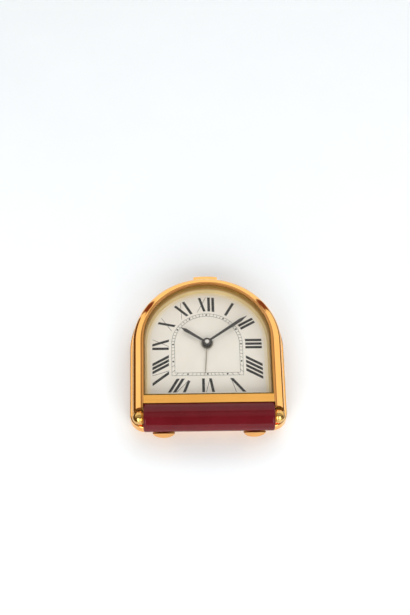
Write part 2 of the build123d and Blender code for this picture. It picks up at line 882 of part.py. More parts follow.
# Hands: swords that widen to a shoulder and end in a point
def sword(angle, length, root, width, hub_radius):
    """Outline of a hand at a clock angle, with its round hub."""
    hour = angle / 30
    shoulder = length * hand_shoulder_share
    with BuildSketch() as outline:
        with BuildLine():
            Polyline(
                on_hour(hour, 0, -root / 2),
                on_hour(hour, shoulder, -width / 2),
                on_hour(hour, length, 0),
                on_hour(hour, shoulder, width / 2),
                on_hour(hour, 0, root / 2),
                close=True,
            )
        make_face()
        Circle(hub_radius)
    return outline.sketch


with BuildPart() as minute_hand:
    with BuildSketch(at(hub, minute_hand_back)):
        add(sword(minute_angle, minute_length, sword_root, sword_width, minute_hub))
        Circle(arbor_radius, mode=Mode.SUBTRACT)
    extrude(amount=hand_thick)
minute_hand.part.label = "minute_hand"
export_step(minute_hand.part, "parts/minute_hand.step")

with BuildPart() as hour_hand:
    with BuildSketch(at(hub, hour_hand_back)):
        add(sword(hour_angle, hour_length, sword_root, sword_width, hour_hub))
        Circle(hour_tube, mode=Mode.SUBTRACT)
    extrude(amount=hand_thick)
hour_hand.part.label = "hour_hand"
export_step(hour_hand.part, "parts/hour_hand.step")

with BuildPart() as alarm_hand:
    with BuildSketch(at(hub, alarm_hand_back)):
        add(sword(alarm_angle, alarm_length, alarm_width, alarm_width, alarm_hub))
        Circle(alarm_tube, mode=Mode.SUBTRACT)
    extrude(amount=hand_thick)
alarm_hand.part.label = "alarm_hand"
export_step(alarm_hand.part, "parts/alarm_hand.step")

with BuildPart() as hand_cap:
    with Locations(at(hub, cannon_top)):
        Cylinder(cap_radius, cap_thick, align=rising)
    fillet(hand_cap.edges().sort_by(Axis.Y)[0], cap_round)
hand_cap.part.label = "hand_cap"
export_step(hand_cap.part, "parts/hand_cap.step")


# Setting knobs: fluted heads in the rear cover's recesses, arbors that end in the dial-side plate
def knob_head():
    """Fluted disc about the origin."""
    with BuildSketch() as head:
        Circle(knob_radius)
        with PolarLocations(knob_radius, flute_count):
            Circle(flute_radius, mode=Mode.SUBTRACT)
    return head.sketch


knob_back = cover_back - knob_proud
knob_front = knob_back + knob_thick
arbor_top = plate_back + pivot_depth

with BuildPart() as time_knob:
    with BuildSketch(at(time_axis, knob_back)):
        add(knob_head())
    extrude(amount=knob_thick)
    with BuildSketch(at(time_axis, minute_wheel_back - pinion_lap)):
        add(gear(cannon_teeth, hand_module, time_phase))
    extrude(amount=pinion_thick)
    with Locations(at(time_axis, knob_front)):
        Cylinder(arbor_radius, arbor_top - knob_front, align=rising)
time_knob.part.label = "time_knob"
export_step(time_knob.part, "parts/time_knob.step")

with BuildPart() as alarm_knob:
    with BuildSketch(at(alarm_axis, knob_back)):
        add(knob_head())
    extrude(amount=knob_thick)
    with BuildSketch(at(alarm_axis, alarm_wheel_back)):
        add(gear(alarm_pinion_teeth, hand_module, alarm_pinion_phase))
    extrude(amount=wheel_thick)
    with Locations(at(alarm_axis, knob_front)):
        Cylinder(arbor_radius, arbor_top - knob_front, align=rising)
alarm_knob.part.label = "alarm_knob"
export_step(alarm_knob.part, "parts/alarm_knob.step")

# Movement plate: bushes for the tubes and arbors, pillars for the bridge, seats for the stator
pillar_angles = (
    pillar_top_angle,
    180 - pillar_top_angle,
    180 + pillar_bottom_angle,
    -pillar_bottom_angle,
)
pillar_places = [polar(movement_radius - pillar_inset, angle) for angle in pillar_angles]
stator_level = rotor_axis[1]
seat_reach = stator_half - stator_leg / 2
stator_seats = [(side * seat_reach, stator_level + seat_rise) for side in (-1, 1)]

with BuildPart() as movement_plate:
    with Locations(at(hub, plate_back)):
        Cylinder(movement_radius, plate_thick, align=rising)
        Cylinder(alarm_tube + run_gap, plate_thick, align=rising, mode=Mode.SUBTRACT)
    with Locations([at(place, plate_back) for place in pillar_places]):
        Cylinder(pillar_radius, train_depth, align=falling)
    with Locations([at(place, bridge_front) for place in pillar_places]):
        Cylinder(
            screw_radius,
            movement_screw_length - plate_thick,
            align=rising,
            mode=Mode.SUBTRACT,
        )
    with Locations([at(place, plate_back) for place in stator_seats]):
        Cylinder(seat_radius, magnet_level - magnet_thick, align=falling)
    with Locations([at(place, plate_back) for place in (time_axis, alarm_axis)]):
        Cylinder(arbor_radius + run_gap, arbor_top - plate_back, align=rising, mode=Mode.SUBTRACT)
    with Locations(at(rotor_axis, plate_back)):
        Cylinder(rotor_arbor + run_gap, pivot_depth, align=rising, mode=Mode.SUBTRACT)
movement_plate.part.label = "movement_plate"
export_step(movement_plate.part, "parts/movement_plate.step")

# Movement bridge: rear plate, with the cell's well and the holes for the arbors
with BuildPart() as movement_bridge:
    with Locations(at(hub, bridge_back)):
        Cylinder(movement_radius, plate_thick, align=rising)
    with Locations([at(place, bridge_back) for place in pillar_places]):
        Cylinder(screw_radius, plate_thick, align=rising, mode=Mode.SUBTRACT)
    with Locations([at(place, bridge_back) for place in (time_axis, alarm_axis)]):
        Cylinder(arbor_radius + run_gap, plate_thick, align=rising, mode=Mode.SUBTRACT)
    with Locations(at(cell_place, bridge_back)):
        Cylinder(cell_radius + cell_gap, plate_thick, align=rising, mode=Mode.SUBTRACT)
    with Locations(at(hub, bridge_front)):
        Cylinder(arbor_radius + run_gap, pivot_depth, align=falling, mode=Mode.SUBTRACT)
    with Locations(at(rotor_axis, bridge_front)):
        Cylinder(rotor_arbor + run_gap, pivot_depth, align=falling, mode=Mode.SUBTRACT)
    with Locations(at(minute_axis, bridge_front)):
        Cylinder(post_radius, pivot_depth, align=falling, mode=Mode.SUBTRACT)
    with Locations(at(intermediate_axis, bridge_front)):
        Cylinder(fine_post_radius, pivot_depth, align=falling, mode=Mode.SUBTRACT)
movement_bridge.part.label = "movement_bridge"
export_step(movement_bridge.part, "parts/movement_bridge.step")

# Wheel posts: two pins pressed in the bridge
with BuildPart() as wheel_posts:
    with Locations(at(minute_axis, pivot_back)):
        Cylinder(post_radius, minute_top + post_clear - pivot_back, align=rising)
    with Locations(at(intermediate_axis, pivot_back)):
        Cylinder(fine_post_radius, intermediate_top + post_clear - pivot_back, align=rising)
wheel_posts.part.label = "wheel_posts"
export_step(wheel_posts.part, "parts/wheel_posts.step")

# Movement screws: through the bridge into the pillars
with BuildPart() as movement_screws:
    with Locations([at(place, bridge_back) for place in pillar_places]):
        Cylinder(screw_head_radius, screw_head, align=falling)
        Cylinder(screw_radius, movement_screw_length, align=rising)
    with Locations([at(place, bridge_back - screw_head) for place in pillar_places]):
        Box(
            2 * screw_head_radius,
            screw_slot,
            screw_slot_depth,
            align=rising,
            mode=Mode.SUBTRACT,
        )
movement_screws.part.label = "movement_screws"
export_step(movement_screws.part, "parts/movement_screws.step")

# Casing ring: holds the movement behind the dial, in the frame's ledge
with BuildPart() as movement_ring:
    with BuildSketch(at(hub, seam)):
        add(arch(ring_radius, ring_drop))
        Circle(bore_radius, mode=Mode.SUBTRACT)
    extrude(amount=ledge_height)
    with BuildSketch(Plane.XY.offset(hub_height + ledge_radius)):
        with Locations((0, -stem_depth)):
            Circle(stem_radius + run_gap)
    extrude(amount=movement_radius - ledge_radius - case_wall, mode=Mode.SUBTRACT)
movement_ring.part.label = "movement_ring"
export_step(movement_ring.part, "parts/movement_ring.step")

# Stator: yoke round the rotor, legs and the core that passes through the coil
with BuildPart() as stator:
    with BuildSketch(at(hub, magnet_back)):
        with Locations((0, stator_level - yoke_below)):
            Rectangle(
                2 * stator_half,
                yoke_below + core_rise + core_height / 2,
                align=(Align.CENTER, Align.MIN),
            )
        with Locations((0, stator_level + yoke_above)):
            Rectangle(
                2 * (stator_half - stator_leg),
                core_rise - core_height / 2 - yoke_above,
                align=(Align.CENTER, Align.MIN),
                mode=Mode.SUBTRACT,
            )
        with Locations(rotor_axis):
            Circle(magnet_radius + stator_gap, mode=Mode.SUBTRACT)
    extrude(amount=magnet_thick)
stator.part.label = "stator"
export_step(stator.part, "parts/stator.step")

# Coil: winding on the stator's core
coil_depth = magnet_back + magnet_thick / 2
with BuildPart() as coil:
    with BuildSketch(Plane.YZ.offset(-coil_half)):
        with Locations((-coil_depth, hub_height + stator_level + core_rise)):
            Circle(coil_radius)
            Rectangle(magnet_thick, core_height, mode=Mode.SUBTRACT)
    extrude(amount=2 * coil_half)
    fillet(coil.edges().filter_by(GeomType.CIRCLE), coil_round)
coil.part.label = "coil"
export_step(coil.part, "parts/coil.step")

# Circuit board on the bridge beside the alarm knob's arbor, with its chip and quartz can
board_side = alarm_axis[0] - board_clear - board_width / 2
board_place = (board_side, -board_drop)
chip_place = (board_side, chip_rise - board_drop)
can_place = (board_side, -board_drop - can_drop)
with BuildPart() as circuit_board:
    with Locations(at(board_place, bridge_front)):
        Box(board_width, board_height, board_thick, align=rising)
circuit_board.part.label = "circuit_board"
export_step(circuit_board.part, "parts/circuit_board.step")

board_front = bridge_front + board_thick
with BuildPart() as chip:
    with Locations(at(chip_place, board_front)):
        Cylinder(chip_radius, chip_thick, align=rising)
    fillet(chip.edges().sort_by(Axis.Y)[0], chip_thick / 2)
chip.part.label = "chip"
export_step(chip.part, "parts/chip.step")

with BuildPart() as quartz_can:
    with BuildSketch(Plane.XY.offset(hub_height + can_place[1] - can_length / 2)):
        with Locations((can_place[0], -board_front - can_radius)):
            Circle(can_radius)
    extrude(amount=can_length)
    fillet(quartz_can.edges().filter_by(GeomType.CIRCLE), can_round)
quartz_can.part.label = "quartz_can"
export_step(quartz_can.part, "parts/quartz_can.step")

# Button cell, its leaf contact and the coin-slot cover behind it
hatch_boss_front = shell_back + hatch_gap + hatch_lug_thick
cell_back = hatch_boss_front + fit_gap
cell_front = cell_back + cell_thick
with BuildPart() as battery:
    with Locations(at(cell_place, cell_back)):
        Cylinder(cell_radius, cell_thick - cell_step, align=rising)
    with Locations(at(cell_place, cell_back)):
        Cylinder(cell_radius - cell_step, cell_thick, align=rising)
    fillet(battery.edges().group_by(Axis.Y)[-1], cell_round)
battery.part.label = "battery"
export_step(battery.part, "parts/battery.step")

leaf_low = cell_place[1] - leaf_length / 2
with BuildPart() as battery_contact:
    with Locations(at((cell_place[0], leaf_low), cell_front)):
        Box(leaf_width, leaf_length, leaf_thick, align=(Align.CENTER, Align.MIN, Align.MIN))
        Box(
            leaf_width,
            leaf_thick,
            plate_back - cell_front,
            align=(Align.CENTER, Align.MIN, Align.MIN),
        )
    with Locations(at((cell_place[0], leaf_low), plate_back)):
        Box(leaf_width, leaf_length / 2, leaf_thick, align=(Align.CENTER, Align.MIN, Align.MAX))
battery_contact.part.label = "battery_contact"
export_step(battery_contact.part, "parts/battery_contact.step")


# Battery cover: flush disc, two bayonet lugs and a coin slot
def lug_sector(radius, angle, widen):
    """Two opposite sectors about the origin, the first about the given angle."""
    with BuildSketch() as sectors:
        for middle in (angle, angle + 180):
            half = hatch_lug_angle / 2 + widen
            with BuildLine():
                Polyline(
                    (0, 0),
                    polar(2 * radius, middle - half),
                    polar(2 * radius, middle + half),
                    close=True,
                )
            make_face()
        Circle(radius, mode=Mode.INTERSECT)
    return sectors.sketch


boss_inner = cell_radius - cell_step
lug_radius = hatch_radius + hatch_lug_reach
with BuildPart() as battery_cover:
    with Locations(at(cell_place, cover_back)):
        Cylinder(hatch_radius, cover_thick, align=rising)
    with Locations(at(cell_place, shell_back)):
        Cylinder(boss_inner, hatch_gap + hatch_lug_thick, align=rising)
    with BuildSketch(at(cell_place, shell_back + hatch_gap)):
        add(lug_sector(lug_radius, 0, 0))
    extrude(amount=hatch_lug_thick)
    with Locations(at(cell_place, cover_back)):
        Box(
            hatch_slot_length,
            hatch_slot_width,
            hatch_slot_depth,
            align=rising,
            mode=Mode.SUBTRACT,
        )
battery_cover.part.label = "battery_cover"
export_step(battery_cover.part, "parts/battery_cover.step")

# Rear cover: recesses for the knobs, the battery opening with its notches, sound holes
with BuildPart() as rear_cover:
    with BuildSketch(at(hub, cover_back)):
        add(
            arch(
                case_radius - cover_inset,
                case_drop - cover_inset,
                case_corner - cover_inset,
            )
        )
    extrude(amount=cover_thick)
    fillet(rear_cover.faces().sort_by(Axis.Y)[-1].edges(), cover_round)
    with Locations([at(place, cover_back) for place in (time_axis, alarm_axis)]):
        Cylinder(
            knob_radius + knob_recess_gap,
            knob_thick - knob_proud + knob_floor_gap,
            align=rising,
            mode=Mode.SUBTRACT,
        )
        Cylinder(arbor_radius + run_gap, cover_thick, align=rising, mode=Mode.SUBTRACT)
    with Locations(at(cell_place, cover_back)):
        Cylinder(hatch_radius + hatch_gap, cover_thick, align=rising, mode=Mode.SUBTRACT)
    with BuildSketch(at(cell_place, cover_back)):
        add(lug_sector(lug_radius + hatch_gap, 90, hatch_lug_play))
    extrude(amount=cover_thick, mode=Mode.SUBTRACT)
    with Locations(at(buzzer_place, cover_back)):
        Cylinder(sound_hole, cover_thick, align=rising, mode=Mode.SUBTRACT)
        with PolarLocations(sound_ring, sound_count):
            Cylinder(sound_hole, cover_thick, align=rising, mode=Mode.SUBTRACT)
    with Locations([at(place, cover_back) for place in cover_screw_places]):
        Cylinder(screw_head_radius, screw_head, align=rising, mode=Mode.SUBTRACT)
        Cylinder(screw_radius, cover_thick, align=rising, mode=Mode.SUBTRACT)
rear_cover.part.label = "rear_cover"
export_step(rear_cover.part, "parts/rear_cover.step")

# Rear cover screws: heads sunk flush, threads in the shell's bosses
with BuildPart() as rear_cover_screws:
    with Locations([at(place, cover_back) for place in cover_screw_places]):
        Cylinder(screw_head_radius, screw_head, align=rising)
        Cylinder(screw_radius, cover_thick + cover_screw_length, align=rising)
        Box(
            2 * screw_head_radius,
            screw_slot,
            screw_slot_depth,
            align=rising,
            mode=Mode.SUBTRACT,
        )
rear_cover_screws.part.label = "rear_cover_screws"
export_step(rear_cover_screws.part, "parts/rear_cover_screws.step")

# Buzzer: brass disc on the rear cover's inside, with its ceramic disc
with BuildPart() as buzzer:
    with Locations(at(buzzer_place, shell_back)):
        Cylinder(buzzer_radius, buzzer_thick / 2, align=rising)
        Cylinder(buzzer_crystal_radius, buzzer_thick, align=rising)
buzzer.part.label = "buzzer"
export_step(buzzer.part, "parts/buzzer.step")

# Alarm switch: under the end of the button's stem
with BuildPart() as alarm_switch:
    with Locations(at((0, switch_top), plate_back)):
        Box(
            switch_width,
            switch_height,
            switch_depth,
            align=(Align.CENTER, Align.MAX, Align.MAX),
        )
    fillet(alarm_switch.edges().filter_by(Axis.Y), switch_round)
alarm_switch.part.label = "alarm_switch"
export_step(alarm_switch.part, "parts/alarm_switch.step")

# Alarm button: pad with a crowned top, on a stem that reaches the switch
with BuildPart() as alarm_button:
    with BuildSketch(at(hub, button_back)):
        Circle(button_top)
        with Locations((0, button_foot)):
            Rectangle(
                button_width,
                button_height,
                align=(Align.CENTER, Align.MIN),
                mode=Mode.INTERSECT,
            )
    extrude(amount=button_depth)
    crown = alarm_button.faces().sort_by(Axis.Z)[-1]
    fillet(crown.edges(), button_round)
    with BuildSketch(Plane.XY.offset(hub_height + button_foot)):
        with Locations((0, -stem_depth)):
            Circle(stem_radius)
    extrude(amount=stem_end - button_foot)
alarm_button.part.label = "alarm_button"
export_step(alarm_button.part, "parts/alarm_button.step")

# Button spring: coil round the stem, between the pad and the slot's floor
spring_rise = button_spring_room - 2 * spring_wire
spring_foot = hub_height + slot_floor + spring_wire
with BuildPart() as button_spring:
    with BuildLine() as spring_path:
        Helix(
            spring_rise / spring_turns,
            spring_rise,
            spring_radius,
            center=(0, -stem_depth, spring_foot),
        )
    with BuildSketch(Plane(spring_path.line @ 0, z_dir=spring_path.line % 0)):
        Circle(spring_wire)
    sweep()
button_spring.part.label = "button_spring"
export_step(button_spring.part, "parts/button_spring.step")

# Feet: half-round pads under the case, each on a neck that holds its screw
pad_rear = seam - foot_rear
neck_depth = seam - shell_back - neck_inset
with BuildPart() as feet:
    with BuildSketch(Plane.XY):
        with Locations([(side * foot_place, -pad_rear - foot_radius) for side in (-1, 1)]):
            Circle(foot_radius)
        with Locations((0, -seam - foot_front)):
            Rectangle(
                2 * case_radius,
                2 * foot_radius,
                align=(Align.CENTER, Align.MAX),
                mode=Mode.SUBTRACT,
            )
    extrude(amount=foot_pad)
    fillet(feet.edges().group_by(Axis.Z)[0].filter_by(GeomType.CIRCLE), foot_round)
    with BuildSketch(Plane.XY.offset(foot_pad)):
        with Locations([(side * foot_place, -seam) for side in (-1, 1)]):
            Rectangle(neck_width, neck_depth, align=(Align.CENTER, Align.MIN))
    extrude(amount=hub_height - case_drop - foot_pad)
    add(trough.part, mode=Mode.SUBTRACT)
    with BuildSketch(Plane.XY.offset(hub_height - case_drop)):
        with Locations(foot_spots):
            Circle(foot_screw_radius)
    extrude(amount=-foot_screw_bite, mode=Mode.SUBTRACT)
feet.part.label = "feet"
export_step(feet.part, "parts/feet.step")

# Foot screws: from inside the case, down through its floor
with BuildPart() as foot_screws:
    with BuildSketch(Plane.XY.offset(floor_top)):
        with Locations(foot_spots):
            Circle(foot_screw_head_radius)
    extrude(amount=screw_head)
    with BuildSketch(Plane.XY.offset(floor_top)):
        with Locations(foot_spots):
            Circle(foot_screw_radius)
    extrude(amount=-(case_wall + foot_screw_bite))
foot_screws.part.label = "foot_screws"
export_step(foot_screws.part, "parts/foot_screws.step")
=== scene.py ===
import math

import bpy
from mathutils import Matrix, Vector


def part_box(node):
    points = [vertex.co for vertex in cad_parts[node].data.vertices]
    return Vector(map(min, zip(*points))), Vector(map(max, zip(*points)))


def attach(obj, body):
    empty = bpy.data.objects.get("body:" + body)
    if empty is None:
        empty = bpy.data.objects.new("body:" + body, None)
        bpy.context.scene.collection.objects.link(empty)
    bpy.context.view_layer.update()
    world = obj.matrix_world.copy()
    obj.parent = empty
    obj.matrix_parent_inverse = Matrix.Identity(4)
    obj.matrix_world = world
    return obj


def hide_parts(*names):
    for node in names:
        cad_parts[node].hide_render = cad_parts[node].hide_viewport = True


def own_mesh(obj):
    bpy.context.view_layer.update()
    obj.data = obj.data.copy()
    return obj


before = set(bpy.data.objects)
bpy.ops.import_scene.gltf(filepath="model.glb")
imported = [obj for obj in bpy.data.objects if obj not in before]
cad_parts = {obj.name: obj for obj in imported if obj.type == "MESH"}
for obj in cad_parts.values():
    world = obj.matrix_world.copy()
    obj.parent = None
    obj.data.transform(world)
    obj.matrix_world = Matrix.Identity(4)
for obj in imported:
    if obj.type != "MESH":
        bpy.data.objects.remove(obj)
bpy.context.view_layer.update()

MM = 0.001

# ---------------------------------------------------------------- node helpers


def start(name, **constants):
    """A new material with its node tree and shader. Constants go on the shader's own sockets."""
    made = bpy.data.materials.new(name)
    made.use_nodes = True
    tree = made.node_tree
    shader = tree.nodes["Principled BSDF"]
    for socket, value in constants.items():
        shader.inputs[socket.replace("_", " ")].default_value = value
    return made, tree, shader


def row_place(tree):
    """The point's place in the row frame, since every piece's object sits at the origin."""
    return tree.nodes.new("ShaderNodeTexCoord").outputs["Object"]


def noise(tree, per_metre, stretch=(1, 1, 1), detail=3.0):
    """Noise of that many waves a metre, in the row frame's coordinates."""
    scale = tree.nodes.new("ShaderNodeMapping")
    scale.inputs["Scale"].default_value = stretch
    made = tree.nodes.new("ShaderNodeTexNoise")
    made.inputs["Scale"].default_value = per_metre
    made.inputs["Detail"].default_value = detail
    made.inputs["Roughness"].default_value = 0.55
    tree.links.new(row_place(tree), scale.inputs["Vector"])
    tree.links.new(scale.outputs["Vector"], made.inputs["Vector"])
    return made.outputs["Fac"]


def spots(tree, per_metre, size, solid=0.6):
    """Small round spots: 1 in the solid share of a spot's size, and down to 0 at its edge."""
    cells = tree.nodes.new("ShaderNodeTexVoronoi")
    cells.inputs["Scale"].default_value = per_metre
    tree.links.new(row_place(tree), cells.inputs["Vector"])
    return ranged(tree, cells.outputs["Distance"], 1.0, 0.0, size * solid, size)


def ramp(tree, factor, *stops):
    """A colour ramp through the (position, colour) stops."""
    made = tree.nodes.new("ShaderNodeValToRGB")
    tree.links.new(factor, made.inputs["Fac"])
    elements = made.color_ramp.elements
    while len(elements) < len(stops):
        elements.new(0.5)
    for element, (position, colour) in zip(elements, stops):
        element.position = position
        element.color = (*colour, 1.0)
    return made.outputs["Color"]


def ranged(tree, factor, low, high, start_at=0.3, end_at=0.7):
    """Low while factor is under start_at, high over end_at, and evenly between."""
    made = tree.nodes.new("ShaderNodeMapRange")
    made.inputs["From Min"].default_value = start_at
    made.inputs["From Max"].default_value = end_at
    made.inputs["To Min"].default_value = low
    made.inputs["To Max"].default_value = high
    tree.links.new(factor, made.inputs["Value"])
    return made.outputs["Result"]


def mixed(tree, factor, a, b):
    """Colour a where factor is 0, colour b where it is 1. Each is a socket or a colour."""
    made = tree.nodes.new("ShaderNodeMix")
    made.data_type = "RGBA"
    tree.links.new(factor, made.inputs[0])
    # The node's two colour inputs are its sockets 6 and 7, and the colour comes out at socket 2
    for socket, value in ((made.inputs[6], a), (made.inputs[7], b)):
        if isinstance(value, tuple):
            socket.default_value = (*value, 1.0)
        else:
            tree.links.new(value, socket)
    return made.outputs[2]


def vectored(tree, operation, vector, by=None):
    """The vector math node of that operation, on the vector and, where given, a constant."""
    made = tree.nodes.new("ShaderNodeVectorMath")
    made.operation = operation
    tree.links.new(vector, made.inputs[0])
    if by:
        made.inputs[1].default_value = by
    return made


def bumped(tree, shader, height, distance, onto="Normal"):
    """Gives the shader's normal that height, up to distance in metres."""
    made = tree.nodes.new("ShaderNodeBump")
    made.inputs["Strength"].default_value = 1.0
    made.inputs["Distance"].default_value = distance
    tree.links.new(height, made.inputs["Height"])
    tree.links.new(made.outputs["Normal"], shader.inputs[onto])


def crevices(tree, reach, closed, clear):
    """1 in corners: where no more than closed of the sky is open within reach, 0 where clear is."""
    open_sky = tree.nodes.new("ShaderNodeAmbientOcclusion")
    open_sky.inputs["Distance"].default_value = reach
    open_sky.samples = 8
    return ranged(tree, open_sky.outputs["AO"], 1.0, 0.0, closed, clear)


def two_shaders(tree, factor, first, second):
    """Puts a mix of the two shaders' outputs on the material's surface."""
    both = tree.nodes.new("ShaderNodeMixShader")
    tree.links.new(factor, both.inputs["Fac"])
    tree.links.new(first, both.inputs[1])
    tree.links.new(second, both.inputs[2])
    tree.links.new(both.outputs["Shader"], tree.nodes["Material Output"].inputs["Surface"])


# ------------------------------------------------------------------- materials

# Painted shade: gilt is darker in its corners. Painted light: deep pockets are a lighter brown,
# less metallic
CORNER = {"reach": 1.1 * MM, "closed": 0.50, "clear": 0.80}
POCKET = {"reach": 2.4 * MM, "closed": 0.20, "clear": 0.45}
POCKET_METALLIC = 0.25
PAINTED_CORNER_SHADE = (0.36, 0.15, 0.04)
PAINTED_POCKET_LIGHT = (0.60, 0.36, 0.09)


def metal(name, tones, rough, fine=900, stretch=(1, 1, 1), depth=4e-7, broad=40, tarnish=None,
          **constants):
    """A metal with a slowly changing tone, fine marks along one direction and a changing gloss.
    Given a corner colour, painted shade darkens its corners and painted light lightens its deep
    pockets.
    """
    made, tree, shader = start(name, Metallic=1.0, **constants)
    wide = noise(tree, broad, detail=2.0)
    marks = noise(tree, fine, stretch, detail=4.0)
    colour = ramp(tree, wide, (0.35, tones[0]), (0.65, tones[1]))
    if tarnish:
        # Painted shade: the corners are painted dark brown
        colour = mixed(tree, crevices(tree, **CORNER), colour, tarnish)
        # Painted light: the deep pockets are painted a lighter brown and made less metallic
        pocket = crevices(tree, **POCKET)
        colour = mixed(tree, pocket, colour, PAINTED_POCKET_LIGHT)
        metallic = ranged(tree, pocket, 1.0, POCKET_METALLIC, 0.0, 1.0)
        tree.links.new(metallic, shader.inputs["Metallic"])
    tree.links.new(colour, shader.inputs["Base Color"])
    tree.links.new(ranged(tree, marks, *rough), shader.inputs["Roughness"])
    bumped(tree, shader, marks, depth)
    return made


def plain(name, tones, rough, fine=700, depth=5e-6, broad=120, **constants):
    """Moulded plastic, rubber, paint or print."""
    made, tree, shader = start(name, **constants)
    wide = noise(tree, broad, detail=3.0)
    marks = noise(tree, fine, detail=4.0)
    tree.links.new(ramp(tree, wide, (0.3, tones[0]), (0.7, tones[1])), shader.inputs["Base Color"])
    tree.links.new(ranged(tree, marks, *rough), shader.inputs["Roughness"])
    bumped(tree, shader, marks, depth)
    return made


def lacquer():
    """Burgundy paint with a few dust spots, under a clear coat that is a little wavy."""
    made, tree, shader = start(
        "lacquer_burgundy",
        Coat_Weight=0.5,
        Coat_Roughness=0.07,
        Coat_IOR=1.5,
        Specular_IOR_Level=0.0,
    )
    cloud = noise(tree, 90, detail=3.0)
    dust = spots(tree, 900, 0.10)
    colour = ramp(tree, cloud, (0.3, (0.096, 0.0038, 0.0070)), (0.7, (0.116, 0.0058, 0.0096)))
    colour = mixed(tree, dust, colour, (0.24, 0.045, 0.045))
    tree.links.new(colour, shader.inputs["Base Color"])
    tree.links.new(ranged(tree, noise(tree, 1400), 0.22, 0.34), shader.inputs["Roughness"])
    bumped(tree, shader, noise(tree, 420, detail=2.0), 2.5e-6, onto="Coat Normal")
    return made


# The dial's edge gets warmer between these two distances inside the crystal's edge
RIM_START = 3.1 * MM
RIM_END = 2.4 * MM


def enamel():
    """The warm white of the dial, with fine specks and a warmer rim along its arch and sides."""
    made, tree, shader = start(
        "dial_white", Specular_IOR_Level=0.35, Coat_Weight=0.12, Coat_Roughness=0.25
    )
    cloud = noise(tree, 70, detail=4.0)
    grain = noise(tree, 2600, detail=3.0)
    speck = ranged(tree, grain, 0.0, 0.14, 0.55, 0.75)
    # The distance from the arch's centre line: from its centre above, and sideways below
    crystal_low, crystal_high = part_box("crystal")
    radius = (crystal_high.x - crystal_low.x) / 2
    centre = (0.0, 0.0, crystal_high.z - radius)
    from_centre = vectored(tree, "SUBTRACT", row_place(tree), centre)
    above = vectored(tree, "MAXIMUM", from_centre.outputs["Vector"], (-1.0, 0.0, 0.0))
    in_plane = vectored(tree, "MULTIPLY", above.outputs["Vector"], (1.0, 0.0, 1.0))
    distance = vectored(tree, "LENGTH", in_plane.outputs["Vector"]).outputs["Value"]
    rim = ranged(tree, distance, 0.0, 1.0, radius - RIM_START, radius - RIM_END)
    colour = ramp(tree, cloud, (0.3, (0.800, 0.740, 0.668)), (0.7, (0.840, 0.788, 0.722)))
    colour = mixed(tree, rim, colour, (0.845, 0.74, 0.56))
    colour = mixed(tree, speck, colour, (0.66, 0.58, 0.47))
    tree.links.new(colour, shader.inputs["Base Color"])
    tree.links.new(ranged(tree, grain, 0.42, 0.55), shader.inputs["Roughness"])
    bumped(tree, shader, grain, 6e-6)
    return made


def rehaut():
    """The tan wall round the dial, painted olive brown at its edge under the glass as painted
    shade.
    """
    made, tree, shader = start("rehaut_tan", Metallic=0.25)
    marks = noise(tree, 1500, detail=4.0)
    low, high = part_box("rehaut")
    split = tree.nodes.new("ShaderNodeSeparateXYZ")
    tree.links.new(row_place(tree), split.inputs["Vector"])
    inward = ranged(tree, split.outputs["Y"], 0.0, 1.0, low.y, high.y)
    # Painted shade: olive brown at the front edge, under the glass
    edge = ranged(tree, inward, 1.0, 0.0, 0.20, 0.48)
    tan = ramp(tree, noise(tree, 120), (0.3, (0.60, 0.45, 0.21)), (0.7, (0.69, 0.53, 0.27)))
    tree.links.new(mixed(tree, edge, tan, (0.36, 0.19, 0.042)), shader.inputs["Base Color"])
    tree.links.new(ranged(tree, marks, 0.30, 0.44), shader.inputs["Roughness"])
    bumped(tree, shader, marks, 3e-6)
    return made


def glass():
    """Thin glass that light passes straight through, with a little gloss on it."""
    made = bpy.data.materials.new("glass_clear")
    made.use_nodes = True
    tree = made.node_tree
    tree.nodes.remove(tree.nodes["Principled BSDF"])
    haze = noise(tree, 160, detail=5.0)
    tint = ramp(tree, haze, (0.3, (0.975, 0.985, 0.98)), (0.7, (0.995, 0.998, 0.995)))
    clear = tree.nodes.new("ShaderNodeBsdfTransparent")
    tree.links.new(tint, clear.inputs["Color"])
    gloss = tree.nodes.new("ShaderNodeBsdfGlossy")
    gloss.inputs["Roughness"].default_value = 0.02
    facing = tree.nodes.new("ShaderNodeLayerWeight")
    facing.inputs["Blend"].default_value = 0.05
    two_shaders(tree, facing.outputs["Facing"], clear.outputs["BSDF"], gloss.outputs["BSDF"])
    return made


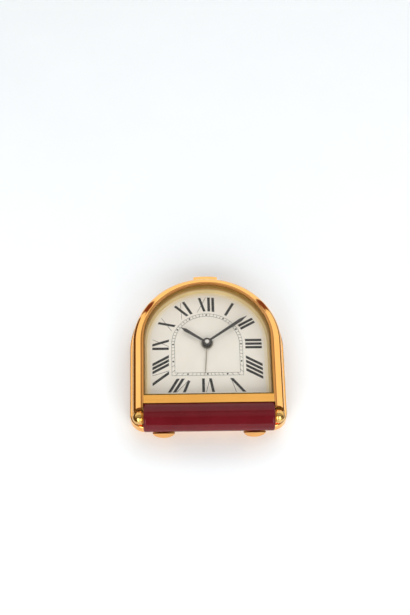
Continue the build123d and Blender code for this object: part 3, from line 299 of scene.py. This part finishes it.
# Each has a darker and a lighter tone and its least and most roughness. Fine is marks a metre,
# broad is waves of tone a metre, and depth is the marks' depth in metres.
METALS = {
    "gilt_polished": dict(
        tones=((0.97, 0.50, 0.145), (1.0, 0.55, 0.175)), rough=(0.07, 0.15),
        fine=700, stretch=(1, 1, 0.25), depth=2.5e-7, tarnish=PAINTED_CORNER_SHADE,
    ),
    # Painted shade: a darker copy of the polished gilt, for the dark the bezel reflects
    "gilt_bezel_shaded": dict(
        tones=((0.48, 0.22, 0.058), (0.56, 0.265, 0.075)), rough=(0.08, 0.16),
        fine=700, depth=2.5e-7, tarnish=PAINTED_CORNER_SHADE,
    ),
    # Painted shade: a darker, olive copy of the polished gilt, for the dark the balls reflect
    "gilt_ball_shaded": dict(
        tones=((0.70, 0.43, 0.125), (0.78, 0.48, 0.15)), rough=(0.14, 0.22),
        fine=900, depth=2.5e-7, tarnish=PAINTED_CORNER_SHADE,
    ),
    # Painted shade: dark brown gilt for the bezel's lower run, which stands in shade
    "gilt_lip_shaded": dict(
        tones=((0.15, 0.095, 0.022), (0.19, 0.12, 0.027)), rough=(0.20, 0.32),
        fine=900, depth=5e-7,
    ),
    "gilt_satin": dict(
        tones=((0.80, 0.40, 0.085), (0.88, 0.455, 0.11)), rough=(0.26, 0.40),
        fine=2600, stretch=(0.02, 1, 1), depth=3e-6, Anisotropic=0.5,
    ),
    "gilt_knob": dict(
        tones=((0.93, 0.50, 0.15), (0.98, 0.55, 0.18)), rough=(0.14, 0.26),
        fine=1500, depth=1e-6,
    ),
    "cap_bright": dict(
        tones=((0.62, 0.60, 0.57), (0.70, 0.68, 0.65)), rough=(0.05, 0.12),
        fine=3000, broad=300,
    ),
    "core_aluminium": dict(
        tones=((0.84, 0.53, 0.20), (0.90, 0.59, 0.24)), rough=(0.24, 0.38),
        fine=1800, stretch=(1, 0.05, 1), depth=2e-6,
    ),
    "screw_steel": dict(
        tones=((0.58, 0.58, 0.59), (0.70, 0.70, 0.70)), rough=(0.16, 0.32),
        fine=2200, depth=1e-6,
    ),
    "wheel_brass": dict(
        tones=((0.76, 0.54, 0.22), (0.86, 0.64, 0.30)), rough=(0.18, 0.32),
        fine=2400, depth=1e-6,
    ),
    "coil_copper": dict(
        tones=((0.72, 0.30, 0.14), (0.86, 0.42, 0.22)), rough=(0.2, 0.4),
        fine=6000, stretch=(1, 0.1, 0.1), depth=2e-5,
    ),
    "can_steel": dict(
        tones=((0.66, 0.66, 0.66), (0.78, 0.78, 0.77)), rough=(0.18, 0.36),
        fine=1600, depth=1e-6,
    ),
    "buzzer_brass": dict(
        tones=((0.74, 0.56, 0.26), (0.84, 0.66, 0.34)), rough=(0.2, 0.36),
        fine=1200, depth=1e-6,
    ),
}
PLAINS = {
    "hand_black": dict(
        tones=((0.018, 0.015, 0.012), (0.032, 0.027, 0.022)), rough=(0.28, 0.42),
        fine=2400, depth=3e-6, Specular_IOR_Level=0.6,
    ),
    "hand_grey": dict(
        tones=((0.30, 0.27, 0.21), (0.42, 0.38, 0.30)), rough=(0.25, 0.4),
        fine=2400, depth=2e-6, Metallic=0.8,
    ),
    "print_black": dict(
        tones=((0.011, 0.010, 0.009), (0.024, 0.021, 0.018)), rough=(0.38, 0.55),
        fine=3200, depth=6e-6, broad=500,
    ),
    "gasket_rubber": dict(
        tones=((0.24, 0.130, 0.016), (0.30, 0.165, 0.024)), rough=(0.45, 0.6), depth=1e-5,
    ),
    "movement_plastic": dict(
        tones=((0.28, 0.29, 0.29), (0.36, 0.37, 0.36)), rough=(0.4, 0.55), depth=8e-6,
    ),
    "board_green": dict(
        tones=((0.02, 0.13, 0.05), (0.03, 0.18, 0.07)), rough=(0.3, 0.5), depth=6e-6,
    ),
    "chip_black": dict(
        tones=((0.012, 0.012, 0.013), (0.026, 0.026, 0.027)), rough=(0.3, 0.5), depth=1e-5,
    ),
}
finishes = {name: metal(name, **look) for name, look in METALS.items()}
finishes |= {name: plain(name, **look) for name, look in PLAINS.items()}
finishes |= {
    "lacquer_burgundy": lacquer(),
    "dial_white": enamel(),
    "rehaut_tan": rehaut(),
    "glass_clear": glass(),
}

# A CAD node's one material is named after its slot, and gets the finish of that name
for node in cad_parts.values():
    for held in node.material_slots:
        held.material = finishes[held.material.name.split(".")[0]]
# Painted shade: the bezel and the balls get darker copies of the polished gilt
for name, finish in (("bezel", "gilt_bezel_shaded"), ("ball_finials", "gilt_ball_shaded")):
    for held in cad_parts[name].material_slots:
        held.material = finishes[finish]

# ---------------------------------------------------------------------- pieces


def link(made):
    """Puts a new object in the scene."""
    bpy.context.scene.collection.objects.link(made)
    return made


def meshed(name, corners, faces, material):
    """A new mesh object of those corners and faces."""
    mesh = bpy.data.meshes.new(name)
    mesh.from_pydata(corners, [], faces)
    mesh.materials.append(material)
    return link(bpy.data.objects.new(name, mesh))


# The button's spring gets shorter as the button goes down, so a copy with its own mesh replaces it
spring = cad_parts["button_spring"].copy()
spring.name = "button_spring_wire"
spring.data = spring.data.copy()
link(spring)
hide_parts("button_spring")
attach(spring, "case")
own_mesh(spring)

# The bezel's lower run stands a little above the apron's edge, a thin line under the dial whose
# gilt is painted dark brown, painted shade.
# It fills the room behind the apron and in front of the crystal, and its front edge is rounded.
LIP_RISE = 1.2 * MM
LIP_ROUND = 0.35 * MM
LIP_STEPS = 8
CLEARANCE = 0.02 * MM
apron_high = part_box("apron_plate")[1]
glass_low, glass_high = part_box("crystal")
lip_front, lip_back = apron_high.y, glass_low.y - CLEARANCE
lip_foot, lip_top = apron_high.z, apron_high.z + LIP_RISE
profile = [(lip_back, lip_foot), (lip_front, lip_foot)]
for step in range(LIP_STEPS + 1):
    turned = math.pi / 2 * step / LIP_STEPS
    profile.append((
        lip_front + LIP_ROUND * (1 - math.cos(turned)),
        lip_top - LIP_ROUND * (1 - math.sin(turned)),
    ))
profile.append((lip_back, lip_top))
many = len(profile)
lip = meshed(
    "bezel_lip",
    [(x, y, z) for x in (glass_low.x, glass_high.x) for y, z in profile],
    [tuple(range(many)), tuple(range(2 * many - 1, many - 1, -1))]
    + [(i, many + i, many + (i + 1) % many, (i + 1) % many) for i in range(many)],
    finishes["gilt_lip_shaded"],
)
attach(lip, "case")

# ---------------------------------------------------------------------- camera

# From the fit to the photo's minute track. The image, the focal length and the hub are in pixels,
# the distance in metres and the sensor in millimetres. The angles start from the dial's foot side.
IMAGE = (410, 615)
FOCAL = 1560.0
HUB_PIXEL = (207.014, 344.171)
ELEVATION = math.radians(60.095)
AZIMUTH = math.radians(-3.038)
ROLL = math.radians(1.930)
DISTANCE = 0.721555
SENSOR = 36.0

# The hub is the hands' axis at the dial's face
cap_low, cap_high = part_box("hand_cap")
hub = (cap_low + cap_high) / 2
hub.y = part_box("dial")[0].y
toward = Vector((
    math.sin(AZIMUTH) * math.cos(ELEVATION),
    -math.sin(ELEVATION),
    -math.cos(AZIMUTH) * math.cos(ELEVATION),
))
forward = -toward
right = forward.cross(Vector((0, -1, 0))).normalized()
up = right.cross(forward)
rolled_right = math.cos(ROLL) * right + math.sin(ROLL) * up
rolled_up = -math.sin(ROLL) * right + math.cos(ROLL) * up
# The camera turns so that the hub falls on its pixel
aim = Vector((
    (HUB_PIXEL[0] - IMAGE[0] / 2) / FOCAL,
    (IMAGE[1] / 2 - HUB_PIXEL[1]) / FOCAL,
    1,
)).normalized()
turn = Vector((0, 0, 1)).rotation_difference(aim).to_matrix()
axes = turn @ Matrix((rolled_right, rolled_up, forward))
rotation = Matrix((axes[0], axes[1], -axes[2])).transposed()
camera_data = bpy.data.cameras.new("camera")
camera_data.sensor_width = SENSOR
camera_data.lens = FOCAL * SENSOR / max(IMAGE)
camera = link(bpy.data.objects.new("camera", camera_data))
camera.matrix_world = Matrix.Translation(hub + DISTANCE * toward) @ rotation.to_4x4()
bpy.context.scene.camera = camera

# ----------------------------------------------------------------------- stage


def one_sided(name, colour):
    """A pale stage surface that shows only from its front."""
    made, tree, shader = start(name, Roughness=0.9, Specular_IOR_Level=0.1)
    shade = tuple(0.985 * part for part in colour)
    soft = ramp(tree, noise(tree, 30, detail=3.0), (0.3, shade), (0.7, colour))
    tree.links.new(soft, shader.inputs["Base Color"])
    clear = tree.nodes.new("ShaderNodeBsdfTransparent")
    side = tree.nodes.new("ShaderNodeNewGeometry")
    two_shaders(tree, side.outputs["Backfacing"], shader.outputs["BSDF"], clear.outputs["BSDF"])
    return made


def staged(name, corners, faces, material):
    """A stage surface that throws no shadow."""
    made = meshed(name, corners, faces, material)
    made.visible_shadow = False
    return made


# The wall stands just behind the clock. It has an arched hole a little inside the case's outline,
# so that the back can be seen and lit. The wall and the floor reach REACH metres each way.
REACH = 1.2
WALL_GAP = 0.3 * MM
HOLE_INSET = 4 * MM
HOLE_STEPS = 24
shell_low, shell_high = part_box("case_shell")
wall_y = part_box("time_knob")[1].y + WALL_GAP
hole_radius = (shell_high.x - shell_low.x) / 2 - HOLE_INSET
hole_foot = shell_low.z + HOLE_INSET
arch_z = shell_high.z - HOLE_INSET - hole_radius
middle_z = arch_z / 2
hole = [(-hole_radius, hole_foot), (hole_radius, hole_foot)]
for step in range(HOLE_STEPS + 1):
    turned = math.pi * step / HOLE_STEPS
    hole.append((hole_radius * math.cos(turned), arch_z + hole_radius * math.sin(turned)))
rim = []
for x, z in hole:
    outward = REACH / max(abs(x), abs(z - middle_z))
    rim.append((x * outward, middle_z + (z - middle_z) * outward))
count = len(hole)
staged(
    "stage_wall",
    [(x, wall_y, z) for x, z in hole + rim],
    [(i, count + i, count + (i + 1) % count, (i + 1) % count) for i in range(count)],
    one_sided("stage_pale", (0.90, 0.945, 0.975)),
)

# The camera looks from under the floor, where it doesn't show, and it throws no light on the clock
FLOOR_Z = -0.3 * MM
floor = staged(
    "stage_floor",
    [(x * REACH, y * REACH, FLOOR_Z) for x, y in ((-1, -1), (1, -1), (1, 1), (-1, 1))],
    [(0, 1, 2, 3)],
    one_sided("stage_floor_pale", (0.66, 0.67, 0.68)),
)
floor.visible_diffuse = floor.visible_glossy = False

# -------------------------------------------------------- cards, lights, world


def card(name, corners, colour):
    """A card that only gloss sees, for what stands round the clock in the photo.

    Its corners are in millimetres.
    """
    made = bpy.data.materials.new(name)
    made.use_nodes = True
    tree = made.node_tree
    tree.nodes.remove(tree.nodes["Principled BSDF"])
    light = tree.nodes.new("ShaderNodeEmission")
    light.inputs["Color"].default_value = (*colour, 1)
    surface = tree.nodes["Material Output"].inputs["Surface"]
    tree.links.new(light.outputs["Emission"], surface)
    placed = [tuple(part * MM for part in corner) for corner in corners]
    piece = staged(name, placed, [tuple(range(len(corners)))], made)
    piece.visible_camera = piece.visible_diffuse = piece.visible_transmission = False


DARK = (0.13, 0.070, 0.02)
RED = (0.20, 0.055, 0.03)
# Beside the case: x, the front and back edge in y, and the lower and upper end in z
for name, x, front, back, low, high in (
    ("left", -46, -9, 6, -20, 76),
    ("right", 52, -3, 6, -20, 90),
):
    corners = [(x, back, low), (x, back, high), (x, front, high), (x, front, low)]
    card("stage_card_" + name, corners, DARK)
# Over the shoulders, leaning forward
for name, side in (("left", -1), ("right", 1)):
    near, far = side * 40, side * 56
    corners = [(near, 5, 90), (far, 5, 90), (far, -88, 126), (near, -88, 126)]
    card("stage_card_lid_" + name, corners, RED)


def softbox(name, place, size, power, aim=hub, in_gloss=False):
    """A soft light of that size in metres and power in watts, which shines towards aim."""
    data = bpy.data.lights.new(name, "AREA")
    data.shape = "RECTANGLE"
    data.size, data.size_y = size
    data.energy = power
    made = link(bpy.data.objects.new(name, data))
    made.location = place
    made.rotation_euler = (Vector(place) - Vector(aim)).to_track_quat("Z", "Y").to_euler()
    made.visible_camera = False
    made.visible_glossy = in_gloss


softbox("key", (0.40, -0.70, 0.45), (1.0, 1.0), 2.0)
softbox("foot_fill", (0.00, -0.52, -0.85), (1.1, 0.8), 3.2)
# These two give the balls their highlights. They shine straight ahead, and stand far enough to the
# sides that the lacquered bar doesn't reflect them.
for name, x, size, power in (
    ("foot_light", -0.36, (0.54, 0.70), 4.6),
    ("foot_glint", 0.35, (0.42, 0.62), 3.2),
):
    softbox(name, (x, -0.34, -0.68), size, power, aim=(x, hub.y, hub.z), in_gloss=True)
softbox("back_left", (-0.60, 0.90, 0.50), (0.8, 0.8), 4.0)
softbox("back_right", (0.70, 0.80, 0.30), (0.6, 0.9), 3.0)

# The world's brightness changes with the angle above the dial's normal, in degrees. Its bands make
# the light and dark stripes on the gilt and the lacquer.
BANDS = (
    (-180, (0.75, 0.74, 0.73)),
    (-100, (0.70, 0.69, 0.68)),
    (-88, (0.16, 0.15, 0.14)),
    (-30, (0.12, 0.11, 0.10)),
    (-18, (0.50, 0.48, 0.46)),
    (8, (0.60, 0.58, 0.56)),
    (13, (0.22, 0.20, 0.19)),
    (17, (0.22, 0.20, 0.19)),
    (23, (1.14, 1.12, 1.10)),
    (120, (1.14, 1.12, 1.10)),
    (180, (0.80, 0.79, 0.78)),
)
# What the camera sees past the wall's edge
BACKGROUND = (0.87, 0.87, 0.90)
world = bpy.data.worlds.new("studio")
bpy.context.scene.world = world
world.use_nodes = True
tree = world.node_tree
ray = tree.nodes.new("ShaderNodeTexCoord")
split = tree.nodes.new("ShaderNodeSeparateXYZ")
ahead = tree.nodes.new("ShaderNodeMath")
ahead.operation = "MULTIPLY"
ahead.inputs[1].default_value = -1.0
angle = tree.nodes.new("ShaderNodeMath")
angle.operation = "ARCTAN2"
tree.links.new(ray.outputs["Generated"], split.inputs["Vector"])
tree.links.new(split.outputs["Y"], ahead.inputs[0])
tree.links.new(split.outputs["Z"], angle.inputs[0])
tree.links.new(ahead.outputs["Value"], angle.inputs[1])
share = ranged(tree, angle.outputs["Value"], 0.0, 1.0, -math.pi, math.pi)
bands = ramp(tree, share, *(((degrees + 180.0) / 360.0, colour) for degrees, colour in BANDS))
seen = tree.nodes.new("ShaderNodeLightPath").outputs["Is Camera Ray"]
tree.links.new(mixed(tree, seen, bands, BACKGROUND), tree.nodes["Background"].inputs["Color"])
tree.nodes["Background"].inputs["Strength"].default_value = 1.0
bpy.context.scene.view_settings.view_transform = "Standard"
